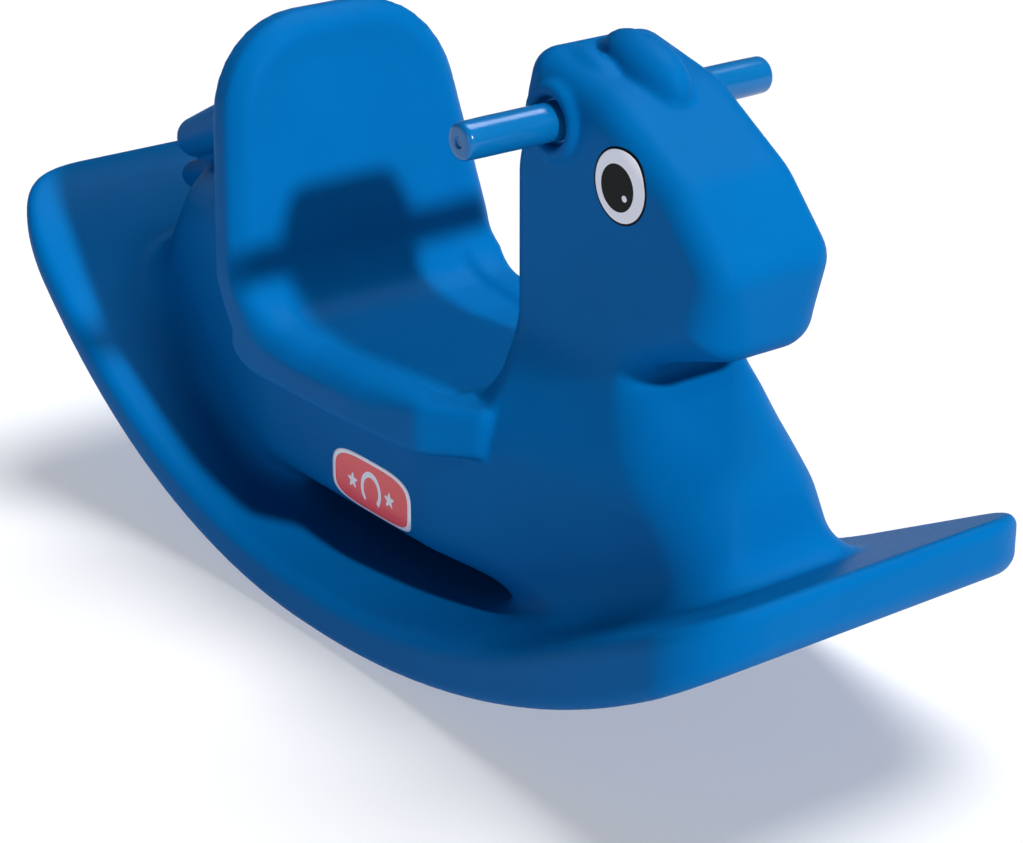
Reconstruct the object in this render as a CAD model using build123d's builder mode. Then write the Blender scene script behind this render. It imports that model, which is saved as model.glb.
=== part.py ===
"""Rotationally moulded toddler rocking horse: one hollow body, two push-in handles and printed decals.

Frame: +X towards the nose, +Y towards the horse's left, +Z up, floor at Z = 0. Millimetres.
"""
from build123d import *
from math import asin, cos, degrees, radians, sin
import os

os.makedirs("parts", exist_ok=True)

# ---------------------------------------------------------------- driving dimensions
WALL = 3.0                # moulded polyethylene wall
CLEAR_OUT = 4 * WALL      # how far a recess's cutting form runs out past the surface

# rocker board
LENGTH = 845.0
WIDTH = 286.0
BOARD_DEPTH = 32.0        # height of the board's side face
REAR_RADIUS = 490.0       # rocking curve behind the resting flat
FRONT_RADIUS = 650.0      # rocking curve ahead of the resting flat
FLAT_REAR_X = 2.0         # the board rests on the short flat between these two
FLAT_FRONT_X = 18.0
LIP_START_X = -382.0      # the rear end levels off into a lip from here
LIP_TOP_Z = 216.0
LIP_DEPTH = 24.0
REAR_PLAN_RADIUS = 68.0
FRONT_PLAN_RADIUS = 58.0
LIP_BEND = 30.0
BOARD_ROUND = 9.0

# torso, under the seat
TORSO_REAR_X = -336.0
TORSO_FRONT_X = 328.0
TORSO_FLAT = (-120.0, 70.0)   # the widest stretch, which carries the badges
TORSO_HALF = 88.0
TORSO_REAR_HALF = 52.0
TORSO_FRONT_HALF = 58.0
TORSO_TOP_Z = 182.0
RUMP_TOP = (-232.0, 256.0)
RUMP_SLOPE = ((-282.0, 236.0), (-314.0, 206.0), (TORSO_REAR_X, 168.0))
BELLY = ((-282.0, 96.0), (-200.0, 48.0), (-100.0, 16.0), (70.0, 16.0), (200.0, 40.0),
         (TORSO_FRONT_X, 90.0))          # bedded inside the board
SADDLE_X = (-200.0, 150.0)               # level stretch under the seat
TORSO_ROUND = 30.0

# neck and head, one profile of constant width
HEAD_HALF = 50.0
HEAD_ROUND = 17.0
NECK_REAR_X = 115.0
POLL = (135.0, 424.0)
BROW = (212.0, 404.0)
BRIDGE = (272.0, 369.0)
NOSE = (313.0, 324.0)
LIP_POINT = (306.0, 269.0)
CHIN = (250.0, 254.0)
THROAT = (231.0, 240.0)
CHEST_TOP = (244.0, 222.0)
CHEST_FOOT = (326.0, 134.0)
NECK_FOOT_Z = 60.0
BREAST_Z = 95.0
NAPE = (NECK_REAR_X, POLL[1] - 60.0)
NECK_ROUNDS = ((NAPE, 60.0), (POLL, 16.0), (BROW, 60.0), (BRIDGE, 60.0), (NOSE, 22.0), (LIP_POINT, 14.0),
               (THROAT, 8.0))            # corner radii of the side profile

# forelock tuft, bedded in the brow
FORELOCK_FOOT = (199.0, 0.0, 393.0)
FORELOCK_LENGTH = 92.0
FORELOCK_WIDTH = 72.0
FORELOCK_CORNER = 29.0
FORELOCK_HEIGHT = 42.0
FORELOCK_ROUND = 25.0
FORELOCK_TILT = 18.0

# seat pan
SEAT_HALF = 113.0
SEAT_FRONT_HALF = 88.0
SEAT_REAR_X = -200.0
SEAT_TAPER_X = 70.0
SEAT_FRONT_X = 148.0
SEAT_BOTTOM_Z = 152.0
SEAT_TOP_Z = 190.0
SEAT_ROUND = 13.0
SEAT_REAR_CORNER = 40.0
SEAT_FRONT_CORNER = 26.0
PAN_X = (-112.0, 86.0)
PAN_HALF = 84.0
PAN_DEPTH = 8.0
PAN_CORNER = 24.0

# seat back, an arch on a plane that leans to the rear
BACK_LEAN = 11.5          # degrees from vertical
BACK_FOOT_X = -128.0      # mid-thickness at the seat's underside
BACK_HALF = 112.0
BACK_TOP_HALF = 95.0
BACK_CORNER = 78.0        # arcs of the arch
BACK_HEIGHT = 236.0       # up the slope, top of the arch
BACK_THICKNESS = 38.0
BACK_ROUND = 16.0
PANEL_INSET = 26.0        # border left around the sunken back panel
PANEL_DEPTH = 5.0

# tail, two tapering locks of hair behind the seat back: root, tip, root radius, tip radius
TAIL_LOCKS = (
    ((-205.0, 0.0, 292.0), (-322.0, 0.0, 258.0), 34.0, 17.0),
    ((-215.0, 0.0, 245.0), (-322.0, 0.0, 224.0), 32.0, 15.0),
)

# handles
HANDLE_X = 164.0
HANDLE_Z = 386.0
GRIP_RADIUS = 12.5
GRIP_TIP_Y = 122.5
GRIP_TIP_ROUND = 5.0
TIP_DIMPLE_RADIUS = 4.0
TIP_DIMPLE_DEPTH = 1.5
HANDLE_COLLAR_RADIUS = 14.5
HANDLE_COLLAR_LENGTH = 4.0
COLLAR_CLEARANCE = 0.4    # between the collar and the recess floor
SOCKET_RADIUS = 18.5      # moulded recess around the handle's root
SOCKET_DEPTH = 7.0
TUNNEL_RADIUS = 12.8      # hole right across the head
SPIGOT_RADIUS = 12.3
SPIGOT_INNER_Y = 3.0
CORE_RADIUS = 6.0         # rod that ties the two handles together
CORE_HALF_LENGTH = 78.0
CORE_CLEARANCE = 0.1
CORE_CHAMFER = 1.0

# printed stickers
DECAL_THICKNESS = 0.6
DECAL_GAP = 0.02
EYE_X = 229.0
EYE_Z = 360.0
EYE_HALF_WIDTH = 24.0
EYE_HALF_HEIGHT = 24.0
BADGE_X = 12.0
BADGE_Z = 92.0
BADGE_LENGTH = 94.0
BADGE_HEIGHT = 44.0
BADGE_CORNER = 14.0

# vent plug in the underside, where the mould breathed
PLUG_X = 10.0
PLUG_RADIUS = 7.0
PLUG_HEAD_RADIUS = 11.0
PLUG_HEAD_DEPTH = 2.0
PLUG_RECESS_DEPTH = 3.0
PLUG_LENGTH = 9.0
PLUG_CLEARANCE = 0.6      # around the head
PLUG_FIT = 0.1            # around the stem
PLUG_BARB = 0.8           # the barb stands this far out behind the wall
PLUG_NOSE = 1.0           # and tapers in this far at its end


# ---------------------------------------------------------------- forms shared by skin and hollow
def arc_rise(radius, run):
    """Height that a rocking curve has gained a given distance from its lowest point."""
    return radius * (1 - cos(asin(run / radius)))


def round_near(sketch, point, radius):
    """Round the corner of a side profile that lies nearest to a point."""
    fillet(sketch.vertices().sort_by_distance(Vector(*point, 0))[0], radius)


def rocker_board(inset):
    """Curved board: a side profile carried across the width, trimmed to rounded ends."""
    rear_end, front_end = -LENGTH / 2, LENGTH / 2
    rear_sweep = degrees(asin((FLAT_REAR_X - LIP_START_X) / REAR_RADIUS))
    front_sweep = degrees(asin((front_end - FLAT_FRONT_X) / FRONT_RADIUS))
    with BuildPart() as board:
        with BuildSketch(Plane.XZ) as side:
            with BuildLine():
                floor = Line((FLAT_REAR_X, 0), (FLAT_FRONT_X, 0))
                front = CenterArc((FLAT_FRONT_X, FRONT_RADIUS), FRONT_RADIUS, 270, front_sweep)
                toe = Line(front @ 1, (front_end, (front @ 1).Y + BOARD_DEPTH))
                front_top = CenterArc((FLAT_FRONT_X, FRONT_RADIUS + BOARD_DEPTH), FRONT_RADIUS,
                                      270, front_sweep)
                Line((FLAT_FRONT_X, BOARD_DEPTH), (FLAT_REAR_X, BOARD_DEPTH))
                rear_top = CenterArc((FLAT_REAR_X, REAR_RADIUS + BOARD_DEPTH), REAR_RADIUS,
                                     270, -rear_sweep)
                Polyline(rear_top @ 1, (rear_end, LIP_TOP_Z), (rear_end, LIP_TOP_Z - LIP_DEPTH),
                         (FLAT_REAR_X - REAR_RADIUS * sin(radians(rear_sweep)),
                          arc_rise(REAR_RADIUS, FLAT_REAR_X - LIP_START_X)))
                CenterArc((FLAT_REAR_X, REAR_RADIUS), REAR_RADIUS, 270, -rear_sweep)
            make_face()
            round_near(side, (LIP_START_X, LIP_TOP_Z), LIP_BEND)
            round_near(side, (LIP_START_X, LIP_TOP_Z - BOARD_DEPTH), LIP_BEND)
            for end_corner in ((rear_end, LIP_TOP_Z), (rear_end, LIP_TOP_Z - LIP_DEPTH),
                               tuple(toe @ 0)[:2], tuple(toe @ 1)[:2]):
                round_near(side, end_corner, BOARD_ROUND)
            if inset:
                offset(amount=-inset, kind=Kind.INTERSECTION)
        extrude(amount=WIDTH / 2 - inset, both=True)
        with BuildSketch() as plan:
            with BuildLine():
                half = WIDTH / 2
                Polyline((rear_end, -half), (front_end, -half), (front_end, half),
                         (rear_end, half), close=True)
            make_face()
            fillet(plan.vertices().group_by(Axis.X)[0], REAR_PLAN_RADIUS)
            fillet(plan.vertices().group_by(Axis.X)[-1], FRONT_PLAN_RADIUS)
            if inset:
                offset(amount=-inset)
        extrude(amount=LENGTH, mode=Mode.INTERSECT)
    return board.part


def torso(inset):
    """Barrel body: widest under the seat, rising to the rump behind and the chest in front."""
    with BuildPart() as barrel:
        with BuildSketch() as plan:
            with BuildLine():
                flat_rear, flat_front = TORSO_FLAT
                Polyline((TORSO_REAR_X, -TORSO_REAR_HALF), (flat_rear, -TORSO_HALF),
                         (flat_front, -TORSO_HALF), (TORSO_FRONT_X, -TORSO_FRONT_HALF),
                         (TORSO_FRONT_X, TORSO_FRONT_HALF), (flat_front, TORSO_HALF),
                         (flat_rear, TORSO_HALF), (TORSO_REAR_X, TORSO_REAR_HALF), close=True)
            make_face()
            fillet(plan.vertices().group_by(Axis.X)[0], TORSO_ROUND)
            fillet(plan.vertices().group_by(Axis.X)[-1], TORSO_ROUND)
            if inset:
                offset(amount=-inset)
        extrude(amount=LENGTH)
        with BuildSketch(Plane.XZ):
            with BuildLine():
                Polyline(RUMP_TOP, *RUMP_SLOPE, *BELLY, CHEST_FOOT, CHEST_TOP,
                         (SADDLE_X[1], TORSO_TOP_Z), (SADDLE_X[0], TORSO_TOP_Z), close=True)
            make_face()
            if inset:
                offset(amount=-inset, kind=Kind.INTERSECTION)
        extrude(amount=WIDTH, both=True, mode=Mode.INTERSECT)
    return barrel.part


def neck_and_head(inset):
    """Neck, head and chest: one rounded slab cut to the horse's side profile."""
    with BuildPart() as neck:
        with BuildSketch(Plane.XZ) as side:
            with BuildLine():
                Polyline((NECK_REAR_X, NECK_FOOT_Z), NAPE, POLL, BROW, BRIDGE, NOSE, LIP_POINT, CHIN, THROAT,
                         CHEST_TOP, CHEST_FOOT, (CHEST_FOOT[0], BREAST_Z), close=True)
            make_face()
            for corner, radius in NECK_ROUNDS:
                round_near(side, corner, radius)
            if inset:
                offset(amount=-inset, kind=Kind.INTERSECTION)
        extrude(amount=HEAD_HALF - inset, both=True)
        side_edges = neck.faces().filter_by(Axis.Y).edges()
        fillet(side_edges, HEAD_ROUND - inset)
    return neck.part


def forelock(inset):
    """Tuft on the brow: a rounded cushion that lies along the slope of the head."""
    slope = radians(FORELOCK_TILT)
    bed = Plane(origin=FORELOCK_FOOT, x_dir=(cos(slope), 0, -sin(slope)), z_dir=(sin(slope), 0, cos(slope)))
    with BuildPart() as tuft:
        with BuildSketch(bed):
            RectangleRounded(FORELOCK_LENGTH - 2 * inset, FORELOCK_WIDTH - 2 * inset, FORELOCK_CORNER - inset)
        extrude(amount=FORELOCK_HEIGHT - inset)
        fillet(tuft.faces().sort_by(Axis.Z)[-1].edges(), FORELOCK_ROUND - inset)
    return tuft.part


def seat(inset):
    """Seat slab that overhangs the torso and narrows towards the neck."""
    with BuildPart() as slab:
        with BuildSketch(Plane.XY.offset(SEAT_BOTTOM_Z + inset)) as plan:
            with BuildLine():
                Polyline((SEAT_REAR_X, -SEAT_HALF), (SEAT_TAPER_X, -SEAT_HALF),
                         (SEAT_FRONT_X, -SEAT_FRONT_HALF), (SEAT_FRONT_X, SEAT_FRONT_HALF),
                         (SEAT_TAPER_X, SEAT_HALF), (SEAT_REAR_X, SEAT_HALF), close=True)
            make_face()
            fillet(plan.vertices().group_by(Axis.X)[0], SEAT_REAR_CORNER)
            fillet(plan.vertices().group_by(Axis.X)[-1], SEAT_FRONT_CORNER)
            if inset:
                offset(amount=-inset)
        extrude(amount=SEAT_TOP_Z - SEAT_BOTTOM_Z - 2 * inset)
        fillet(slab.faces().sort_by(Axis.Z)[-1].edges(), SEAT_ROUND - inset)
        fillet(slab.faces().sort_by(Axis.Z)[0].edges(), (SEAT_ROUND - inset) / 2)
    return slab.part


def seat_pan(grow):
    """Space of the sunken pan in the seat's top, enlarged all round by the given amount."""
    length = PAN_X[1] - PAN_X[0]
    middle = (PAN_X[0] + PAN_X[1]) / 2
    with BuildPart() as pan:
        with BuildSketch(Plane.XY.offset(SEAT_TOP_Z - PAN_DEPTH - grow)):
            with Locations((middle, 0)):
                RectangleRounded(length + 2 * grow, 2 * (PAN_HALF + grow), PAN_CORNER)
        extrude(amount=PAN_DEPTH + CLEAR_OUT)
    return pan.part


def leaning_plane(offset_forward):
    """Plane of the seat back: x across the seat, y up the slope, z facing the rider."""
    lean = radians(BACK_LEAN)
    forward = Vector(cos(lean), 0, sin(lean))
    origin = Vector(BACK_FOOT_X, 0, SEAT_BOTTOM_Z) + forward * offset_forward
    return Plane(origin=origin, x_dir=(0, 1, 0), z_dir=forward)


def back_outline(inset, foot):
    """Arch: straight sides that draw in a little towards two large corner arcs."""
    half, top_half, height = BACK_HALF - inset, BACK_TOP_HALF - inset, BACK_HEIGHT - inset
    with BuildSketch() as arch:
        with BuildLine():
            Polyline((-half, foot), (half, foot), (top_half, height), (-top_half, height), close=True)
        make_face()
        fillet(arch.vertices().group_by(Axis.Y)[-1], BACK_CORNER - inset)
    return arch.sketch


def seat_back(inset):
    """Arched seat back of even thickness with well rounded borders."""
    depth = BACK_THICKNESS - 2 * inset
    arch = back_outline(inset, inset)
    with BuildPart() as back:
        with BuildSketch(leaning_plane(-depth / 2)):
            add(arch)
        extrude(amount=depth)
        rims = back.faces().sort_by(Axis.X)
        fillet(rims[-1].edges() + rims[0].edges(), BACK_ROUND - inset)
    return back.part


def back_panel(grow):
    """Space of the sunken panel on the rider's side of the seat back."""
    arch = back_outline(PANEL_INSET - grow, SEAT_TOP_Z - SEAT_BOTTOM_Z - grow)
    with BuildPart() as panel:
        with BuildSketch(leaning_plane(BACK_THICKNESS / 2 - PANEL_DEPTH - grow)):
            add(arch)
        extrude(amount=PANEL_DEPTH + CLEAR_OUT)
    return panel.part


def tail_lock(root, tip, root_radius, tip_radius):
    """One lock of the tail: a tapering round bar with a ball end."""
    root, tip = Vector(root), Vector(tip)
    run = tip - root
    with BuildPart(Plane(origin=root, z_dir=run)) as lock:
        Cone(root_radius, tip_radius, run.length, align=(Align.CENTER, Align.CENTER, Align.MIN))
        with Locations((0, 0, run.length)):
            Sphere(tip_radius)
    return lock.part


def tail(inset):
    """Two locks of hair, the upper one longer."""
    locks = [tail_lock(root, tip, root_radius - inset, tip_radius - inset)
             for root, tip, root_radius, tip_radius in TAIL_LOCKS]
    with BuildPart() as tuft:
        add(locks)
    return tuft.part


def across(radius, length, start_y=0.0, side=-1):
    """Round bar along Y on the handle axis, from start_y outwards on one side."""
    mouth = Plane(origin=(HANDLE_X, side * start_y, HANDLE_Z), z_dir=(0, side, 0))
    with BuildPart(mouth) as bar:
        Cylinder(radius, length, align=(Align.CENTER, Align.CENTER, Align.MIN))
    return bar.part


def handle_socket(grow):
    """Recess around each handle root and the tunnel that joins them, enlarged by the given amount."""
    recess_floor_y = HEAD_HALF - SOCKET_DEPTH - grow
    tunnel = across(TUNNEL_RADIUS + grow, 2 * HEAD_HALF, -HEAD_HALF, 1)
    recesses = [across(SOCKET_RADIUS + grow, SOCKET_DEPTH + grow + CLEAR_OUT, recess_floor_y, side)
                for side in (-1, 1)]
    with BuildPart() as space:
        add([tunnel, *recesses])
    return space.part


def plug_seat(grow):
    """Hole and shallow recess for the vent plug in the resting flat."""
    with BuildPart() as space:
        with Locations((PLUG_X, 0, 0)):
            Cylinder(PLUG_HEAD_RADIUS + PLUG_CLEARANCE + grow, PLUG_RECESS_DEPTH + grow,
                     align=(Align.CENTER, Align.CENTER, Align.MIN))
            if not grow:
                Cylinder(PLUG_RADIUS, PLUG_RECESS_DEPTH + 2 * WALL,
                         align=(Align.CENTER, Align.CENTER, Align.MIN))
    return space.part


def whole_form(inset):
    """The horse's outer form, or with an inset the space inside its wall."""
    masses = [rocker_board(inset), torso(inset), neck_and_head(inset), forelock(inset), seat(inset),
              seat_back(inset), tail(inset)]
    recesses = [seat_pan(inset), back_panel(inset), handle_socket(inset), plug_seat(inset)]
    with BuildPart() as form:
        add(masses)
        add(recesses, mode=Mode.SUBTRACT)
    return form.part


# ---------------------------------------------------------------- sub-parts
def finish(piece, label):
    """Label a finished piece and write it to its own STEP file."""
    piece.label = label
    export_step(piece, f"parts/{label}.step")


# hollow body, moulded in one shot
skin = whole_form(0)
hollow = whole_form(WALL)
with BuildPart() as body_shell:
    add(skin)
    add(hollow, mode=Mode.SUBTRACT)
finish(body_shell.part, "body_shell")

# handles: grip, collar that sits in the moulded recess, and spigot that runs into the head
COLLAR_START_Y = HEAD_HALF - SOCKET_DEPTH + COLLAR_CLEARANCE
for hand, side in (("right", -1), ("left", 1)):
    grip = across(GRIP_RADIUS, GRIP_TIP_Y - COLLAR_START_Y, COLLAR_START_Y, side)
    collar = across(HANDLE_COLLAR_RADIUS, HANDLE_COLLAR_LENGTH, COLLAR_START_Y, side)
    spigot = across(SPIGOT_RADIUS, COLLAR_START_Y - SPIGOT_INNER_Y, SPIGOT_INNER_Y, side)
    core_bore = across(CORE_RADIUS + CORE_CLEARANCE, CORE_HALF_LENGTH + CORE_CHAMFER, 0, side)
    tip_dimple = across(TIP_DIMPLE_RADIUS, GRIP_TIP_ROUND, GRIP_TIP_Y - TIP_DIMPLE_DEPTH, side)
    with BuildPart() as handle:
        add(grip)
        fillet(handle.faces().sort_by(Axis.Y, reverse=side < 0)[-1].edges(), GRIP_TIP_ROUND)
        add([collar, spigot])
        add([core_bore, tip_dimple], mode=Mode.SUBTRACT)
    finish(handle.part, f"handle_{hand}")

# rod inside the handles
with BuildPart(Plane(origin=(HANDLE_X, 0, HANDLE_Z), z_dir=(0, 1, 0))) as handle_core_rod:
    Cylinder(CORE_RADIUS, 2 * CORE_HALF_LENGTH)
    chamfer(handle_core_rod.faces().filter_by(GeomType.PLANE).edges(), CORE_CHAMFER)
finish(handle_core_rod.part, "handle_core_rod")

# eye and badge stickers on each side
for hand, side in (("right", -1), ("left", 1)):
    head_side = Plane(origin=(0, side * (HEAD_HALF + DECAL_GAP), 0), x_dir=(1, 0, 0), z_dir=(0, side, 0))
    torso_side = Plane(origin=(0, side * (TORSO_HALF + DECAL_GAP), 0), x_dir=(1, 0, 0), z_dir=(0, side, 0))
    with BuildPart() as eye_decal:
        with BuildSketch(head_side):
            with Locations((EYE_X, -side * EYE_Z)):
                Ellipse(EYE_HALF_WIDTH, EYE_HALF_HEIGHT)
        extrude(amount=DECAL_THICKNESS)
    finish(eye_decal.part, f"eye_decal_{hand}")
    with BuildPart() as badge_decal:
        with BuildSketch(torso_side):
            with Locations((BADGE_X, -side * BADGE_Z)):
                RectangleRounded(BADGE_LENGTH, BADGE_HEIGHT, BADGE_CORNER)
        extrude(amount=DECAL_THICKNESS)
    finish(badge_decal.part, f"badge_decal_{hand}")

# vent plug, snapped into the underside
with BuildPart() as vent_plug:
    with Locations((PLUG_X, 0, PLUG_RECESS_DEPTH)):
        Cylinder(PLUG_HEAD_RADIUS, PLUG_HEAD_DEPTH, align=(Align.CENTER, Align.CENTER, Align.MAX))
        Cylinder(PLUG_RADIUS - PLUG_FIT, PLUG_LENGTH - PLUG_RECESS_DEPTH,
                 align=(Align.CENTER, Align.CENTER, Align.MIN))
    with Locations((PLUG_X, 0, PLUG_RECESS_DEPTH + WALL + 2 * PLUG_FIT)):
        Cone(PLUG_RADIUS + PLUG_BARB, PLUG_RADIUS - PLUG_NOSE, PLUG_LENGTH - PLUG_RECESS_DEPTH - WALL,
             align=(Align.CENTER, Align.CENTER, Align.MIN))
finish(vent_plug.part, "vent_plug")
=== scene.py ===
"""Looks of a toddler's rocking horse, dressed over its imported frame.

The body is one hollow polyethylene moulding in which every mass runs into the next, so it is worked out as
one form. Each mass (rocker board, barrel with neck and head, seat, forelock, tail) is a formula for the
distance to its surface. The masses are joined with fillets, and the zero surface of the joined formula
becomes a skin of four-sided faces. Handles, stickers and the vent plug are surfaces of two parameters.

Classes work in millimetres, meshes are in metres. +X is the nose, +Y the horse's left, the floor is Z = 0.
"""
import logging
import math
from collections.abc import Callable, Sequence
from dataclasses import dataclass
from enum import Enum

import bpy
import numpy as np
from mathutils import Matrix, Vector


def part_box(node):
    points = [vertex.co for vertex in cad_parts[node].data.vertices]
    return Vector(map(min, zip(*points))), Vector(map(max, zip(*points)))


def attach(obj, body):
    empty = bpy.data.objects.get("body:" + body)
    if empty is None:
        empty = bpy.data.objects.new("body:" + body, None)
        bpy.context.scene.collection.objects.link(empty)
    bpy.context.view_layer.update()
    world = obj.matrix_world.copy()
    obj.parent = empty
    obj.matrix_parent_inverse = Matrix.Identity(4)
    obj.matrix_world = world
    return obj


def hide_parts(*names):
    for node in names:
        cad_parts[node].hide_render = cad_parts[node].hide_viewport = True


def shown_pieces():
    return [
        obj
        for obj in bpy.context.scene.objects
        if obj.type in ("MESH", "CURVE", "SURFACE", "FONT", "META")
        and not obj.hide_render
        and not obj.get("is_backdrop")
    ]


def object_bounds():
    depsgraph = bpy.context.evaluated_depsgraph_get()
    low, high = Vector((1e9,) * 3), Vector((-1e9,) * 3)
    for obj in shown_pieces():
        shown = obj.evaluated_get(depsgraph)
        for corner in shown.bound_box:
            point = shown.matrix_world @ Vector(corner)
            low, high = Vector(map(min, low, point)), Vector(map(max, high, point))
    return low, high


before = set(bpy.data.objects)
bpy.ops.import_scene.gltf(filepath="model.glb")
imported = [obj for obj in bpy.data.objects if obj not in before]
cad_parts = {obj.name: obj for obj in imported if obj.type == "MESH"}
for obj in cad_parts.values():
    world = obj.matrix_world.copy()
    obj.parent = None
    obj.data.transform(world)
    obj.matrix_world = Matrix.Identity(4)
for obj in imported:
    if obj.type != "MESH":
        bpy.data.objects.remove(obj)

CAD_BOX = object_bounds()
BODY = "root"
MM = 0.001
FULL_CELL = 3.7     # millimetres between the points of the body's skin
GRIP_RADIUS = 12.5
PLUG_HEAD_DEPTH = 2.0

log = logging.getLogger("rocking_horse")
Array = np.ndarray
Distance = Callable[[Array, Array, Array], Array]


class Hand(Enum):
    """Side of the horse, seen from its back; the value is the sign of Y."""

    RIGHT = -1
    LEFT = 1


# ---------------------------------------------------------------- sizes read from the frame
def node_box(node: str) -> tuple[Array, Array]:
    """Corners of a CAD node in millimetres.

    Args:
        node: name of the CAD node.

    Returns:
        Lowest and highest corner.
    """
    low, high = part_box(node)
    return np.array(low) / MM, np.array(high) / MM


# ---------------------------------------------------------------- distance formulas
def soft_step(value: Array, start: float, end: float) -> Array:
    """Cubic ramp from 0 at start to 1 at end: 3t^2 - 2t^3.

    Args:
        value: where to read the ramp.
        start: value at which it leaves 0.
        end: value at which it reaches 1.

    Returns:
        The ramp, between 0 and 1.
    """
    t = np.clip((value - start) / (end - start), 0.0, 1.0)
    return t * t * (3.0 - 2.0 * t)


def soft_least(a: Array, b: Array, reach: float) -> Array:
    """Lower of two heights, with the kink between them rounded over the given reach.

    Args:
        a, b: the two heights.
        reach: difference in height over which one curve gives way to the other.

    Returns:
        The rounded lower envelope.
    """
    gap = np.maximum(reach - np.abs(a - b), 0.0) / reach
    return np.minimum(a, b) - gap * gap * reach / 4.0


def round_join(a: Array, b: Array, radius: Array | float) -> Array:
    """Union of two forms with a circular fillet of the given radius in the corner between them.

    Args:
        a, b: distances to the two forms.
        radius: fillet radius, which may vary from place to place.

    Returns:
        Distance to the joined form.
    """
    fillet = np.hypot(np.maximum(radius - a, 0.0), np.maximum(radius - b, 0.0))
    return np.maximum(radius, np.minimum(a, b)) - fillet


def round_meet(a: Array, b: Array, radius: Array | float) -> Array:
    """Intersection of two forms whose shared edge is rounded to the given radius.

    Args:
        a, b: distances to the two forms.
        radius: edge radius, which may vary from place to place.

    Returns:
        Distance to what both forms share.
    """
    edge = np.hypot(np.maximum(a + radius, 0.0), np.maximum(b + radius, 0.0))
    return np.minimum(-radius, np.maximum(a, b)) + edge


def ball(x: Array, y: Array, z: Array, centre: Sequence[float], radii: Sequence[float]) -> Array:
    """Near distance to an ellipsoid: k (k - 1) over the slope of k, the scaled distance to its centre.

    Args:
        x, y, z: place.
        centre: middle of the ellipsoid.
        radii: its three half lengths.

    Returns:
        Distance, exact on the surface.
    """
    p = [(value - middle) / radius for value, middle, radius in zip((x, y, z), centre, radii)]
    scaled = np.sqrt(p[0] ** 2 + p[1] ** 2 + p[2] ** 2)
    steep = np.sqrt((p[0] / radii[0]) ** 2 + (p[1] / radii[1]) ** 2 + (p[2] / radii[2]) ** 2)
    return scaled * (scaled - 1.0) / np.maximum(steep, 1e-6)


def tapered_bar(x: Array, y: Array, z: Array, root: Sequence[float], tip: Sequence[float],
                root_radius: float, tip_radius: float) -> Array:
    """Distance to a round bar with ball ends whose radius runs evenly from root to tip.

    Args:
        x, y, z: place.
        root, tip: centres of the two end balls.
        root_radius, tip_radius: their radii.

    Returns:
        Distance to the bar.
    """
    run = np.subtract(tip, root)
    away = [value - start for value, start in zip((x, y, z), root)]
    along = np.clip((away[0] * run[0] + away[1] * run[1] + away[2] * run[2]) / run.dot(run), 0.0, 1.0)
    across = np.sqrt(sum((a - along * r) ** 2 for a, r in zip(away, run)))
    return across - (root_radius + (tip_radius - root_radius) * along)


@dataclass(frozen=True)
class Outline:
    """Closed flat outline: straight sides with an arc at each corner.

    Attributes:
        corners: (first coordinate, second coordinate, corner radius) of each corner in order.
    """

    corners: tuple[tuple[float, float, float], ...]
    ARC_POINTS = 9

    @classmethod
    def mirrored(cls, near: tuple[tuple[float, float, float], ...]) -> "Outline":
        """Outline with one side given, and the same again on the other side of the middle plane."""
        return cls(near + tuple((x, -half, radius) for x, half, radius in reversed(near)))

    def points(self) -> Array:
        """Points round the outline: each corner's arc runs between its two tangent points.

        Returns:
            Points in order, one row each.
        """
        corner = np.array([c[:2] for c in self.corners], float)[:, None]
        radius = np.array([c[2] for c in self.corners], float)[:, None, None]
        back = np.roll(corner, 1, axis=0) - corner
        ahead = np.roll(corner, -1, axis=0) - corner
        back /= np.linalg.norm(back, axis=2, keepdims=True)
        ahead /= np.linalg.norm(ahead, axis=2, keepdims=True)
        half = 0.5 * np.arccos(np.clip((back * ahead).sum(2, keepdims=True), -1.0, 1.0))
        middle = back + ahead
        centre = corner + middle / np.linalg.norm(middle, axis=2, keepdims=True) * radius / np.sin(half)
        start = corner + back * radius / np.tan(half) - centre
        end = corner + ahead * radius / np.tan(half) - centre
        turn = np.pi - 2.0 * half
        t = np.linspace(0.0, 1.0, self.ARC_POINTS)[None, :, None]
        arc = (np.sin((1.0 - t) * turn) * start + np.sin(t * turn) * end) / np.sin(turn)
        path = (centre + arc).reshape(-1, 2)
        step = np.linalg.norm(np.roll(path, -1, axis=0) - path, axis=1)
        return path[step > 1e-6]

    def distance(self, u: Array, v: Array) -> Array:
        """Distance to the nearest side, negative where a ray crosses the outline an odd number of times.

        Args:
            u: first coordinate.
            v: second coordinate.

        Returns:
            Signed distance at each place.
        """
        path = self.points()
        nearest = np.full(np.broadcast(u, v).shape, np.inf)
        inside = np.zeros(nearest.shape, bool)
        for (u0, v0), (u1, v1) in zip(path, np.roll(path, -1, axis=0)):
            du, dv = u1 - u0, v1 - v0
            along = np.clip(((u - u0) * du + (v - v0) * dv) / (du * du + dv * dv), 0.0, 1.0)
            nearest = np.minimum(nearest, (u - u0 - along * du) ** 2 + (v - v0 - along * dv) ** 2)
            left_of_side = (du * (v - v0) - dv * (u - u0) > 0) == (dv > 0)
            inside ^= ((v0 > v) != (v1 > v)) & left_of_side
        return np.where(inside, -1.0, 1.0) * np.sqrt(nearest)


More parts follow.
